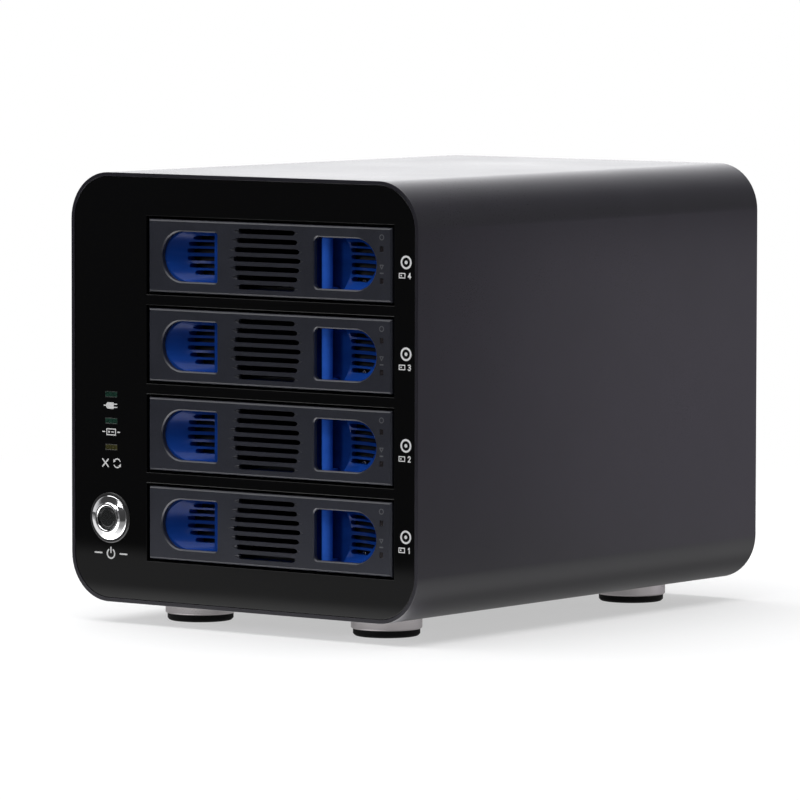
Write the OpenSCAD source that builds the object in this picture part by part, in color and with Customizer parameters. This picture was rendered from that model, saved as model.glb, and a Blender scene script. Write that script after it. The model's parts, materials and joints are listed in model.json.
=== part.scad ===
// Four-bay desktop drive enclosure.
// +Z is up and the front faces -Y. The origin is the centre of the footprint, on the table.
// All lengths are millimetres.

/* [Body] */
// Width of the wrap body
body_w = 170; // [168:0.5:180]
// Height of the wrap body, without its feet
body_h = 168; // [167:0.5:176]
// Depth of the wrap body
body_d = 227; // [227:1:240]
// Radius of the body's four long edges
corner_r = 18.5; // [16:0.5:20]
// Wall of the aluminium wrap
shell_t = 1.5; // [1.2:0.1:1.6]

/* [Feet] */
// Diameter of a foot's metal disc
foot_d = 27.6; // [24:0.2:30]
// Height of the metal disc
foot_disc_h = 5.6; // [5:0.1:7]
// Height of the rubber pad under it
foot_pad_h = 2.7; // [2:0.1:4]
// Distance of the feet from the centre, sideways
foot_x = 46; // [45:0.5:47]
// Distance of the feet from the centre, front to back
foot_y = 81.5; // [78:0.5:84]

/* [Drive bays] */
// Distance from one bay to the next
bay_pitch = 34.65; // [34.4:0.05:34.8]
// Height of the lowest tray above the body's underside
bay_first = 18.25; // [17.5:0.25:19]
// Sideways place of the bays' centre line
bay_x = 13.2; // [13:0.1:13.4]
// Width of a tray cover
tray_w = 118.4; // [118:0.1:118.6]
// Height of a tray cover
tray_h = 28.24; // [28.1:0.02:28.4]
// Gap between a tray cover and its opening
tray_gap = 1.2; // [1.1:0.1:1.3]

/* [Drive] */
// Width of a standard 3.5-inch drive
drive_w = 101.6; // [101.6]
// Length of a standard 3.5-inch drive
drive_l = 147; // [147]
// Sideways spacing of a drive's underside screws
screw_dx = 95.25; // [95.25]
// Lengthwise spacing of a drive's underside screws
screw_dy = 44.45; // [44.45]
// Diameter of the holes for those screws
screw_hole_d = 3.6; // [3.4:0.1:3.8]

/* [Fan] */
// Side of the fan's square frame
fan_w = 80; // [80]
// Spacing of the fan's screw holes
fan_pitch = 71.5; // [71.5]
// Number of blades
fan_blades = 7; // [5:1:9]

/* [Power button] */
// Sideways place of the power button
btn_x = -65.4; // [-66:0.2:-65]
// Height of the power button above the body's underside
btn_h = 33; // [32:0.5:35]

/* [Hidden] */
$fn = 64;
e = 0.01;
z0 = foot_disc_h + foot_pad_h;
zc = z0 + body_h / 2;
yf = -body_d / 2;
yr = body_d / 2;
in_w = body_w - 2 * shell_t;
in_h = body_h - 2 * shell_t;
in_r = corner_r - shell_t;
yp = yf + 0.2;
panel_t = 2;
bezel_t = 3;
bezel_d = 8;
ybz = yp + panel_t;
ybr = ybz + bezel_d;
ycov = yf + 12;
lip_y = ycov + 0.15;
btn_z = z0 + btn_h;
lamp_x = -65.1;
lamp_h = [81.3, 70.9, 60.6];
tray_m = tray_h / 2;
wall_in = 56.5;
wall_t = 1.2;
cage_l = bay_x - wall_in - wall_t;
cage_w = wall_in + 6;
cage_b = z0 + 10;
cage_top_z = z0 + bay_first + 3 * bay_pitch + tray_h + 5.5;
cage_y0 = -96.5;
cage_y1 = 54;
bp_t = 1.6;
rear_y = yr - 2.5;
rear_t = 1.5;
fan_x = bay_x;
fan_y0 = rear_y - 25;
board_x = -52;
dial_z = z0 + 72;
set_z = z0 + 58;
port_x = -58;
boss_dx = body_w / 2 - corner_r + 9.75;
boss_dz = body_h / 2 - corner_r + 9.75;
feet = [for (sx = [-1, 1]) for (sy = [-1, 1]) [sx * foot_x, sy * foot_y]];

// Height of bay n's tray underside, n counted from 1 at the bottom
function bay_z(n) = z0 + bay_first + (n - 1) * bay_pitch;

// Box between two corners
module box(x0, x1, y0, y1, za, zb) {
    translate([x0, y0, za]) cube([x1 - x0, y1 - y0, zb - za]);
}

// A drawing in X and Z, made solid from y0 to y1
module slab(y0, y1) {
    translate([0, y1, 0]) rotate([90, 0, 0]) linear_extrude(y1 - y0) children();
}

// Round bar along Y
module rod_y(x, z, r, y0, y1, fn = 64) {
    translate([x, y1, z]) rotate([90, 0, 0]) cylinder(r = r, h = y1 - y0, $fn = fn);
}

// Round bar along Z
module rod_z(x, y, r, za, zb) {
    translate([x, y, za]) cylinder(r = r, h = zb - za);
}

// Rounded rectangle, centred
module rrect(w, h, r) {
    square([w - 2 * r, h], center = true);
    square([w, h - 2 * r], center = true);
    for (sx = [-1, 1]) for (sz = [-1, 1])
        translate([sx * (w / 2 - r), sz * (h / 2 - r)]) circle(r, $fn = 96);
}

// Rounded slot along X, centred
module slot2(w, h) {
    square([w - h, h], center = true);
    for (s = [-1, 1]) translate([s * (w - h) / 2, 0]) circle(h / 2);
}

// The four bay openings
module bay_holes(gap) {
    for (n = [1:4])
        translate([bay_x - tray_w / 2 - gap, bay_z(n) - gap])
            square([tray_w + 2 * gap, tray_h + 2 * gap]);
}

// ---- Body ----

module outer_shell() {
    color("#26272b") difference() {
        union() {
            slab(yf, yr) translate([0, zc]) difference() {
                rrect(body_w, body_h, corner_r);
                rrect(in_w, in_h, in_r);
            }
            // screw channels in the rear corners
            for (sx = [-1, 1]) for (sz = [-1, 1])
                rod_y(sx * boss_dx, zc + sz * boss_dz, 3.6, 60, rear_y);
        }
        for (f = feet) translate([f[0], f[1], z0 - 1]) cylinder(r = 2.1, h = 4);
        for (x = [-29, 53]) for (y = [-60, 40]) translate([x, y, z0 - 1]) cylinder(r = 1.65, h = 4);
        for (sx = [-1, 1]) for (sz = [-1, 1])
            rod_y(sx * boss_dx, zc + sz * boss_dz, 1.5, 98, rear_y + 1);
    }
}

module front_panel() {
    color("#050506") slab(yp, ybz) difference() {
        translate([0, zc]) rrect(in_w - 0.4, in_h - 0.4, in_r - 0.2);
        bay_holes(tray_gap);
        translate([btn_x, btn_z]) circle(8.1);
        for (h = lamp_h) translate([lamp_x - 3.05, z0 + h - 1.05]) square([6.1, 2.1]);
    }
}

// The block round all four bays, less what is given
module bay_frame() {
    difference() {
        translate([bay_x - tray_w / 2 - tray_gap - 1.6, bay_z(1) - tray_gap - 1.6])
            square([tray_w + 2 * tray_gap + 3.2, 3 * bay_pitch + tray_h + 2 * tray_gap + 3.2]);
        children();
    }
}

module front_bezel() {
    color("#121214") difference() {
        union() {
            slab(ybz, ybz + bezel_t) difference() {
                translate([0, zc]) rrect(in_w - 0.4, in_h - 0.4, in_r - 0.2);
                bay_holes(tray_gap);
            }
            // outer wall
            slab(ybz + bezel_t - e, ybr) translate([0, zc]) difference() {
                rrect(in_w - 0.4, in_h - 0.4, in_r - 0.2);
                rrect(in_w - 4, in_h - 4, in_r - 2);
            }
            // walls round the bays, and a light stop behind the edges of each tray cover
            slab(ybz + bezel_t - e, lip_y) bay_frame() bay_holes(tray_gap);
            slab(lip_y - e, lip_y + 1.2) bay_frame() for (n = [1:4]) {
                translate([bay_x - wall_in, bay_z(n)]) square([2 * wall_in, tray_h - 0.24]);
                translate([bay_x + wall_in - 1, bay_z(n) + 9]) square([tray_w / 2 + tray_gap - wall_in + 1, 10]);
            }
            // posts for the lamp board
            for (p = [[-77, 63.5], [-53, 94]]) rod_y(p[0], p[1], 2.4, ybz + bezel_t - e, -103);
        }
        rod_y(btn_x, btn_z, 8.1, ybz - 1, ybr + 1);
        for (h = lamp_h) box(lamp_x - 3.05, lamp_x + 3.05, ybz - 1, ybr, z0 + h - 1.05, z0 + h + 1.05);
    }
}

module lamp_pipe(h) {
    box(lamp_x - 3, lamp_x + 3, yp, -104.2, z0 + h - 1, z0 + h + 1);
}

module link_light_pipes() {
    color("#2f8a5a") for (i = [0, 1]) lamp_pipe(lamp_h[i]);
}

module error_light_pipe() {
    color("#8a8a2a") lamp_pipe(lamp_h[2]);
}

module led_board() {
    color("#1f5a33") {
        box(-80, -50, -103, -101.4, z0 + 52, z0 + 90);
        for (h = lamp_h) box(lamp_x - 1.6, lamp_x + 1.6, -104.1, -103 + e, z0 + h - 0.8, z0 + h + 0.8);
        box(-72, -60, -101.4 - e, -97.4, z0 + 53.5, z0 + 58);
    }
}

// ---- Power button ----

// Turned shape about the button's axis: the first number is the radius, the second is the depth
// behind the front face of the body
module turned(x, z) {
    translate([x, yf, z]) rotate([-90, 0, 0]) rotate_extrude($fn = 96) children();
}

module power_switch_body() {
    color("#1a1a1c") turned(btn_x, btn_z) polygon([[6.2, -0.5], [9.6, -0.5], [9.9, -0.2],
        [9.9, 0.2], [8, 0.2], [8, 18], [5, 18], [5, 24], [0, 24], [0, 15], [6.2, 15]]);
}

module power_button_ring() {
    color("#d5d8da") turned(btn_x, btn_z) polygon([[4.75, 9], [6.1, 9], [6.1, -0.55],
        [8.65, -0.55], [8.65, -0.75], [8.2, -1.05], [6.5, -1.5], [5.95, -1.6], [5.95, -2.2],
        [5.65, -2.5], [5.05, -2.5], [4.75, -2.2]]);
}

module power_button() {
    color("#17181b") turned(btn_x, btn_z) polygon([[0, -1.9], [3.4, -1.9], [3.6, -1.7],
        [4.2, -1.7], [4.65, -1.25], [4.65, 8], [3, 8], [3, 11], [0, 11]]);
}

module power_switch_nut() {
    color("#b9bcc0") difference() {
        rod_y(btn_x, btn_z, 11.5, ybz + bezel_t, ybz + bezel_t + 3.2, 6);
        rod_y(btn_x, btn_z, 8.05, ybz, ybz + bezel_t + 5);
    }
}

// ---- Drive cage ----

// One side wall, given for the right side: x is measured outwards from the bays' centre line
module cage_side() {
    difference() {
        union() {
            box(wall_in, wall_in + wall_t, cage_y0, cage_y1, cage_b + wall_t, cage_top_z);
            // flanges, all turned outwards
            box(wall_in, cage_w, cage_y0, cage_y1 - 8, cage_b + wall_t, cage_b + 2 * wall_t);
            box(wall_in, cage_w, cage_y0, cage_y1 - 8, cage_top_z - wall_t, cage_top_z);
            box(wall_in, cage_w, cage_y1 - wall_t, cage_y1, cage_b + wall_t, cage_top_z);
        }
        for (z = [cage_b + 8, cage_top_z - 8]) rod_y(wall_in + 3.7, z, 1.5, cage_y1 - 4, cage_y1 + 1);
        // air windows between the guides
        for (n = [1:4]) for (k = [0:3])
            translate([wall_in - 1, -74 + k * 32, bay_z(n) + 20.5]) cube([4, 22, 8]);
    }
}

module cage_right() {
    color("#a9adb1") translate([bay_x, 0, 0]) cage_side();
}

module cage_left() {
    color("#a9adb1") translate([bay_x, 0, 0]) mirror([1, 0, 0]) cage_side();
}

module cage_top() {
    color("#a9adb1") difference() {
        box(bay_x - cage_w, bay_x + cage_w, ybr, cage_y1, cage_top_z, cage_top_z + wall_t);
        for (i = [0:5]) translate([bay_x - 45 + i * 18, -20, cage_top_z + 1])
            linear_extrude(4, center = true) rotate(90) slot2(70, 8);
    }
}

module cage_bottom() {
    color("#a9adb1") difference() {
        union() {
            box(bay_x - cage_w, bay_x + cage_w, ybr, cage_y1, cage_b, cage_b + wall_t);
            for (x = [-36, 60]) box(x, x + wall_t, -76, 50, z0 + shell_t, cage_b + e);
            box(-36, -24, -76, 50, z0 + shell_t, z0 + shell_t + wall_t);
            box(49, 61.2, -76, 50, z0 + shell_t, z0 + shell_t + wall_t);
        }
        for (x = [-29, 53]) for (y = [-60, 40])
            translate([x, y, z0 - 1]) cylinder(r = 1.5, h = 6);
        for (i = [0:5]) translate([bay_x - 45 + i * 18, -20, cage_b])
            linear_extrude(4, center = true) rotate(90) slot2(70, 8);
    }
}

module cage_screws() {
    color("#8d9094") for (x = [-29, 53]) for (y = [-60, 40]) {
        difference() {
            rod_z(x, y, 2.8, z0 - 1.8, z0);
            translate([x, y, z0 - 2]) cylinder(r = 1.3, h = 1.2, $fn = 6);
        }
        rod_z(x, y, 1.45, z0 - e, z0 + 5.5);
    }
    // the same screws hold the backplane to the cage
    color("#8d9094") for (s = [-1, 1]) for (z = [cage_b + 8, cage_top_z - 8])
        translate([bay_x + s * (wall_in + 3.7), cage_y1 + bp_t, z]) rotate([90, 0, 0]) {
            difference() {
                translate([0, 0, -1.8]) cylinder(r = 2.8, h = 1.8);
                translate([0, 0, -2]) cylinder(r = 1.3, h = 1.2, $fn = 6);
            }
            translate([0, 0, -e]) cylinder(r = 1.45, h = 5.5);
        }
}

module guide_rails() {
    color("#1b1c1f") for (n = [1:4]) for (s = [-1, 1]) for (h = [9.6, 15.4])
        translate([bay_x, 0, bay_z(n) + h]) linear_extrude(2) polygon([[s * wall_in, -94],
            [s * (wall_in - 1), -94], [s * (wall_in - 2.6), -88], [s * (wall_in - 2.6), 50],
            [s * wall_in, 50]]);
}

// ---- Electronics ----

module backplane_board() {
    color("#1d4f31") slab(cage_y1, cage_y1 + bp_t) difference() {
        translate([bay_x - cage_w + 0.5, cage_b + 3]) square([2 * cage_w - 1, cage_top_z - cage_b - 6]);
        for (n = [1:4]) translate([bay_x, bay_z(n) + 19]) slot2(84, 12);
        for (s = [-1, 1]) for (z = [cage_b + 8, cage_top_z - 8])
            translate([bay_x + s * (wall_in + 3.7), z]) circle(1.6);
    }
}

module drive_sockets() {
    color("#0e0e10") for (n = [1:4]) difference() {
        box(bay_x - 30, bay_x + 14, 48.2, cage_y1, bay_z(n) + 3.2, bay_z(n) + 9.4);
        box(bay_x - 28, bay_x - 6, 47, 52.4, bay_z(n) + 4.6, bay_z(n) + 7.4);
        box(bay_x - 4, bay_x + 12, 47, 52.4, bay_z(n) + 4.6, bay_z(n) + 7.4);
    }
}

module controller_board() {
    color("#1d4f31") difference() {
        union() {
            box(board_x, board_x + 1.6, -40, rear_y - 3, z0 + 27, z0 + 142);
            // capacitors, connectors and chips
            for (k = [0:3]) translate([board_x - 9, 70, z0 + 112 + k * 7.5]) rotate([0, 90, 0])
                cylinder(r = 3, h = 9 + e);
            box(board_x - 7, board_x + e, -30, -22, z0 + 100, z0 + 132);
            box(board_x - 1.4, board_x + e, -20, 0, z0 + 40, z0 + 54);
            box(board_x - 1.4, board_x + e, 30, 48, z0 + 40, z0 + 58);
            // switch bodies behind the dial and the set button
            box(port_x - 6, board_x + e, 96, 104, dial_z - 6, dial_z + 6);
            box(port_x - 3, board_x + e, 97, 104, set_z - 3, set_z + 3);
        }
        for (y = [-34, 44]) for (z = [z0 + 33, z0 + 136]) translate([board_x - 1, y, z])
            rotate([0, 90, 0]) cylinder(r = 1.6, h = 4);
    }
}

module controller_heatsink() {
    color("#8f9398") union() {
        box(board_x - 4.5, board_x - 1.5, 8, 48, z0 + 66, z0 + 106);
        for (k = [0:8]) box(board_x - 14, board_x - 4.5 + e, 8, 48, z0 + 66 + k * 4.8, z0 + 67.6 + k * 4.8);
        box(board_x - 1.5 - e, board_x, 16, 40, z0 + 74, z0 + 98);
    }
}

module board_standoffs() {
    color("#c2a45a") for (y = [-34, 44]) for (z = [z0 + 33, z0 + 136])
        translate([board_x + 1.6, y, z]) rotate([0, 90, 0])
            cylinder(r = 2.6, h = cage_l - board_x - 1.6);
}

module data_cable() {
    color("#b9bcc0") translate([0, 0, z0 + 72]) {
        linear_extrude(26) {
            translate([board_x + 1.6, 70]) square([4.4, 10]);
            translate([board_x + 6 - e, 74.5]) square([8 + e, 0.9]);
            translate([board_x + 14, 70]) intersection() {
                difference() { circle(5.4); circle(4.5); }
                square(6);
            }
            translate([board_x + 18.5, 60 - e]) square([0.9, 10 + e]);
            translate([board_x + 14.5, cage_y1 + bp_t]) square([9, 4.4]);
        }
    }
}

// ---- Rear ----

module rear_panel() {
    color("#2b2c30") difference() {
        slab(rear_y, rear_y + rear_t) difference() {
            translate([0, zc]) rrect(in_w - 0.4, in_h - 0.4, in_r - 0.2);
            translate([fan_x, zc]) circle(38, $fn = 96);
            for (sx = [-1, 1]) for (sz = [-1, 1]) {
                translate([fan_x + sx * fan_pitch / 2, zc + sz * fan_pitch / 2]) circle(2.2);
                translate([sx * boss_dx, zc + sz * boss_dz]) circle(1.6);
            }
            // socket openings
            translate([-64.3, z0 + 111.7]) square([12.6, 12.6]);
            translate([-58.3, z0 + 86.7]) square([6.6, 17.6]);
            translate([port_x, z0 + 36]) circle(6.8);
            translate([port_x, dial_z]) circle(4.3);
            translate([port_x, set_z]) circle(2);
            // lock slot
            translate([68, z0 + 16]) slot2(7.2, 3.2);
            // air slots
            for (k = [0:6]) translate([-70 + k * 4.6, z0 + 141]) rotate(90) slot2(18, 2.2);
            for (k = [0:4]) translate([57.6 + k * 4.2, z0 + 84]) rotate(90) slot2(60, 2);
        }
    }
}

module rear_screws() {
    color("#8d9094") for (sx = [-1, 1]) for (sz = [-1, 1]) {
        difference() {
            rod_y(sx * boss_dx, zc + sz * boss_dz, 2.8, rear_y + rear_t, rear_y + rear_t + 1.9);
            box(sx * boss_dx - 2, sx * boss_dx + 2, rear_y + rear_t + 1, rear_y + rear_t + 3,
                zc + sz * boss_dz - 0.3, zc + sz * boss_dz + 0.3);
            box(sx * boss_dx - 0.3, sx * boss_dx + 0.3, rear_y + rear_t + 1, rear_y + rear_t + 3,
                zc + sz * boss_dz - 2, zc + sz * boss_dz + 2);
        }
        rod_y(sx * boss_dx, zc + sz * boss_dz, 1.45, rear_y - 9, rear_y + rear_t + e);
    }
}

module fan_frame() {
    color("#141416") difference() {
        union() {
            slab(fan_y0, fan_y0 + 4) translate([fan_x, zc]) rrect(fan_w, fan_w, 4);
            slab(rear_y - 4, rear_y) translate([fan_x, zc]) rrect(fan_w, fan_w, 4);
            rod_y(fan_x, zc, 39.9, fan_y0, rear_y, 96);
        }
        difference() {
            rod_y(fan_x, zc, 38, fan_y0 - 1, rear_y + 1, 96);
            // motor carrier and its struts
            rod_y(fan_x, zc, 17, rear_y - 3.5, rear_y);
            rod_y(fan_x, zc, 4, fan_y0 + 6, rear_y);
            for (a = [20:90:290]) translate([fan_x, 0, zc]) rotate([0, a, 0])
                box(14, 40, rear_y - 3.5, rear_y, -2, 2);
        }
        rod_y(fan_x, zc, 1.6, fan_y0 - 1, rear_y - 1);
        for (sx = [-1, 1]) for (sz = [-1, 1])
            rod_y(fan_x + sx * fan_pitch / 2, zc + sz * fan_pitch / 2, 2.15, fan_y0 - 1, rear_y + 1);
    }
}

module fan_rotor() {
    color("#1d1e21") {
        difference() {
            rod_y(fan_x, zc, 18, fan_y0 + 1.5, rear_y - 4.5);
            rod_y(fan_x, zc, 16.2, fan_y0 + 3.5, rear_y);
        }
        rod_y(fan_x, zc, 1.53, fan_y0 + 3, rear_y - 2);
        intersection() {
            difference() {
                rod_y(fan_x, zc, 36.8, fan_y0 + 2, rear_y - 5, 96);
                rod_y(fan_x, zc, 17.6, fan_y0 + 1, rear_y);
            }
            for (i = [0:fan_blades - 1])
                translate([fan_x, (fan_y0 + rear_y) / 2 - 1.5, zc]) rotate([0, i * 360 / fan_blades, 0])
                    rotate([38, 0, 0]) translate([16, -0.8, -13]) cube([24, 1.6, 26]);
        }
    }
}

module fan_guard() {
    color("#c9ccd0") translate([fan_x, rear_y + rear_t + 0.8, zc]) rotate([90, 0, 0]) {
        for (r = [9, 18, 27, 36]) rotate_extrude($fn = 96) translate([r, 0]) circle(0.8, $fn = 24);
        for (a = [45:90:315]) rotate(a) {
            translate([8.6, 0, -1.1]) rotate([0, 90, 0])
                cylinder(r = 0.8, h = fan_pitch / sqrt(2) - 11.86, $fn = 24);
            translate([fan_pitch / sqrt(2), 0, 0]) rotate_extrude() translate([3.1, 0]) circle(0.8, $fn = 24);
        }
    }
}

module fan_screws() {
    color("#8d9094") for (sx = [-1, 1]) for (sz = [-1, 1]) {
        x = fan_x + sx * fan_pitch / 2;
        z = zc + sz * fan_pitch / 2;
        difference() {
            rod_y(x, z, 3.2, rear_y + rear_t + 1.6, rear_y + rear_t + 3.5);
            box(x - 2.4, x + 2.4, rear_y + rear_t + 2.6, rear_y + rear_t + 5, z - 0.35, z + 0.35);
            box(x - 0.35, x + 0.35, rear_y + rear_t + 2.6, rear_y + rear_t + 5, z - 2.4, z + 2.4);
        }
        rod_y(x, z, 2, rear_y - 9, rear_y + rear_t + 1.6 + e);
    }
}

module usb_socket() {
    color("#c3c6ca") union() {
        difference() {
            box(-64, board_x, 95, rear_y + rear_t + 0.4, z0 + 112, z0 + 124);
            box(-62.6, board_x - 1.4, 99, rear_y + 5, z0 + 113.4, z0 + 122.6);
        }
        box(-60.5, board_x - 3.5, 98, rear_y, z0 + 116.2, z0 + 119.8);
    }
}

module esata_socket() {
    color("#2a2b2e") union() {
        difference() {
            box(port_x, board_x, 98, rear_y + rear_t + 0.3, z0 + 87, z0 + 104);
            box(port_x + 1, board_x - 1, 101, rear_y + 5, z0 + 88.6, z0 + 102.4);
        }
        box(port_x + 2.3, port_x + 3.5, 100, rear_y, z0 + 90, z0 + 101);
    }
}

module power_socket() {
    color("#1b1c1e") union() {
        difference() {
            union() {
                box(port_x - 6, board_x, 96, rear_y - 0.2, z0 + 30, z0 + 42);
                rod_y(port_x, z0 + 36, 6.5, rear_y - 0.3, rear_y + rear_t + 0.5);
            }
            rod_y(port_x, z0 + 36, 4.6, 101, rear_y + 5);
        }
        for (a = [45:90:315]) rod_y(port_x + 2.4 * cos(a), z0 + 36 + 2.4 * sin(a), 0.5, 100, rear_y, 24);
    }
}

module mode_dial() {
    color("#d8d9da") difference() {
        rod_y(port_x, dial_z, 4, 104.2, rear_y + rear_t + 0.5);
        box(port_x - 0.5, port_x + 0.5, rear_y + rear_t - 0.5, rear_y + 5, dial_z - 2.8, dial_z + 2.8);
        translate([port_x, rear_y + rear_t - 0.5, dial_z]) rotate([-90, 0, 0]) linear_extrude(5)
            polygon([[-1.6, -1.4], [1.6, -1.4], [0, -3.2]]);
    }
}

module set_button() {
    color("#d23b2e") union() {
        rod_y(port_x, set_z, 1.8, 105, rear_y + rear_t + 0.4);
        rod_y(port_x, set_z, 2.6, 105, 106);
    }
}

// ---- Feet ----

module foot_discs() {
    color("#b4b6b8") for (f = feet) translate([f[0], f[1], 0]) rotate_extrude($fn = 96)
        polygon([[2.1, z0], [foot_d / 2 - 0.4, z0], [foot_d / 2, z0 - 0.4],
            [foot_d / 2, foot_pad_h + 0.5], [foot_d / 2 - 0.5, foot_pad_h], [4.4, foot_pad_h],
            [4.4, foot_pad_h + 3], [2.1, foot_pad_h + 3]]);
}

module foot_pads() {
    color("#0d0d0e") for (f = feet) translate([f[0], f[1], 0]) rotate_extrude($fn = 96)
        polygon([[0, 0], [foot_d / 2 - 1.6, 0], [foot_d / 2 - 0.8, 0.8], [foot_d / 2 - 0.8, foot_pad_h],
            [0, foot_pad_h]]);
}

module foot_screws() {
    color("#8d9094") for (f = feet) translate([f[0], f[1], 0]) union() {
        rod_z(0, 0, 4, foot_pad_h + 0.5, foot_pad_h + 3);
        rod_z(0, 0, 1.95, foot_pad_h + 2, z0 + shell_t + 4.4);
        translate([0, 0, z0 + shell_t]) cylinder(r = 4.05, h = 3.2, $fn = 6);
    }
}

// ---- Drive trays: the same six pieces in every bay. Heights are above the tray's underside ----

// Left finger window, with an optional inset
module window_l(i = 0, right = -12.1) {
    translate([-29.7, 14.05]) circle(9.7 - i);
    translate([-29.7, 4.35 + i]) square([right + 28.7 - i, 19.4 - 2 * i]);
    translate([-29.7, 5.35 + i]) square([right + 29.7 - i, 17.4 - 2 * i]);
    for (z = [5.35 + i, 22.75 - i]) translate([right - 1 - i, z]) circle(1);
}

// Right finger window
module window_r(i = 0) {
    translate([55.23, 13.93]) circle(9.82 - i);
    translate([37.2, 4.11 + i]) square([18.03, 19.64 - 2 * i]);
    translate([35.2 + i, 6.11]) square([5, 15.64]);
    for (z = [6.11, 21.75]) translate([37.2, z]) circle(2 - i);
}

// Chamfer of width c - 0.05 round a window's rim, starting 0.05 in front of the face: cones at the
// round parts, wedges along the straight ones
module rim_l(c = 0.55, right = -12.1) {
    translate([-29.7, -0.05, 14.05]) rotate([-90, 0, 0]) cylinder(r1 = 9.7 + c, r2 = 9.7, h = c, $fn = 96);
    rim_box(-29.7, right - 1, 4.35, 23.75, 0, c);
    rim_box(-29.7, right, 5.35, 22.75, c, 0);
    for (z = [5.35, 22.75]) translate([right - 1, -0.05, z]) rotate([-90, 0, 0])
        cylinder(r1 = 1 + c, r2 = 1, h = c);
}

module rim_r(c = 0.55) {
    translate([55.23, -0.05, 13.93]) rotate([-90, 0, 0]) cylinder(r1 = 9.82 + c, r2 = 9.82, h = c, $fn = 96);
    rim_box(37.2, 55.23, 4.11, 23.75, 0, c);
    translate([72.4, 0, 0]) mirror([1, 0, 0]) rim_box(30, 37.2, 6.11, 21.75, c, 0);
    for (z = [6.11, 21.75]) translate([37.2, -0.05, z]) rotate([-90, 0, 0])
        cylinder(r1 = 2 + c, r2 = 2, h = c);
}

// Block that narrows from the front face inwards: by cx at its far end in X, or by cz at top and bottom
module rim_box(x0, x1, za, zb, cx, cz) {
    c = max(cx, cz);
    if (cz > 0) translate([x0, -0.05, 0]) rotate([90, 0, 90]) linear_extrude(x1 - x0)
        polygon([[0, za - cz], [c, za], [c, zb], [0, zb + cz]]);
    else translate([0, -0.05, za]) linear_extrude(zb - za)
        polygon([[x0, 0], [x1 + cx, 0], [x1, c], [x0, c]]);
}

vent_h = [for (k = [0:6]) tray_m + (k - 3) * 3.56];
vent_l = [-1.7, -2.6, -3.7, -4.3, -3.7, -2.6, -1.8];
vent_r = [25.5, 26.65, 27.5, 28.2, 27.6, 26.65, 25.4];

module tray_cover(n) {
    c = 0.7;
    color("#2c2e33") translate([0, yf, bay_z(n)]) difference() {
        translate([bay_x, 0, 0]) union() {
            box(-tray_w / 2, tray_w / 2, c, 12, 0, tray_h);
            // the chamfered front
            intersection() {
                box(-tray_w / 2, tray_w / 2, 0, c + e, 0, tray_h);
                translate([-tray_w / 2, 0, tray_m]) rotate([0, 90, 0]) linear_extrude(tray_w)
                    polygon([[-tray_m + c, 0], [tray_m - c, 0], [tray_m + 1, c + 1], [-tray_m - 1, c + 1]]);
                linear_extrude(tray_h) polygon([[-tray_w / 2 + c, 0], [tray_w / 2 - c, 0],
                    [tray_w / 2 + 1, c + 1], [-tray_w / 2 - 1, c + 1]]);
            }
        }
        box(bay_x - tray_w / 2 + 1.2, bay_x + tray_w / 2 - 1.2, 2.2, 13, 1.2, tray_h - 1.2);
        slab(-1, 5) window_l();
        slab(-1, 5) window_r();
        for (k = [0:6]) {
            slab(-1, 5) translate([(vent_l[k] + vent_r[k]) / 2, vent_h[k]]) slot2(vent_r[k] - vent_l[k], 2.05);
            // pointed run-outs at both ends of a vent
            translate([vent_l[k] + 0.6, 0, vent_h[k]]) rotate([0, -90, 0]) cylinder(r1 = 0.98, r2 = 0.05, h = 2.7, $fn = 32);
            translate([vent_r[k] - 0.6, 0, vent_h[k]]) rotate([0, 90, 0]) cylinder(r1 = 0.98, r2 = 0.05, h = 2.7, $fn = 32);
        }
        rim_l();
        rim_r();
        // lamp windows and the latch notch
        for (h = [8.05, 20.15]) box(66.95, 68.65, -1, 5, h - 1.1, h + 1.1);
        box(bay_x + tray_w / 2 - 2, bay_x + tray_w / 2 + 1, 10.4, 13, 9.6, 18.4);
    }
}

// Dished cutter: an arc of radius rh in plan and rv in height, deepest at x, with its floor at depth d
module dish(x, d, rh, rv) {
    translate([x, d - rh, tray_m]) rotate_extrude($fn = 128) {
        intersection() {
            translate([rh - rv, 0]) circle(rv, $fn = 96);
            translate([0, -rv]) square([rh + 1, 2 * rv]);
        }
        translate([0, -rv]) square([rh - rv, 2 * rv]);
    }
}

grip_slots = [-6.3, -3.7, -0.95, 2.05, 4.7, 7.2];

module tray_grip(n) {
    color("#1f3f9e") translate([0, yf, bay_z(n)]) difference() {
        union() {
            box(-41, -10.9, 2.25, 10.6, 1.25, 26.95);
            box(31, 66.8, 2.25, 10.6, 1.25, 26.95);
            box(-11, 31.1, 2.25, 9.6, 1.25, 2.3);
            // end post of the latch spring
            box(48.4, 50, 10.6 - e, 11.8, 4.6, 7.2);
        }
        // left scoop
        intersection() {
            slab(0, 9.4) window_l(0, -14.9);
            dish(-15, 9, 47.2, 13);
        }
        // left ribs: round-ended slots through the floor, ending on an arc
        for (z = grip_slots) {
            x0 = -22.9 - sqrt(60 - pow(z - 0.6, 2));
            box(x0, -15.4, 5, 12, tray_m + z - 0.85, tray_m + z + 0.85);
            rod_y(x0, tray_m + z, 0.85, 5, 12, 32);
        }
        // right deep pocket, for the latch bar
        box(32.8, 47, 2, 9.3, 2.6, 25.6);
        for (h = [2.6, 23.6]) box(34, 40.6, 9, 12, h, h + 2);
        // right scoop
        intersection() {
            slab(0, 9.4) window_r();
            dish(47, 8.4, 28.6, 13);
        }
        for (z = grip_slots) {
            x0 = 66.8 - sqrt(361 - pow(z - 0.6, 2));
            box(x0, 62.5, 4, 12, tray_m + z - 0.85, tray_m + z + 0.85);
            rod_y(x0, tray_m + z, 0.85, 4, 12, 32);
        }
    }
}

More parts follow.
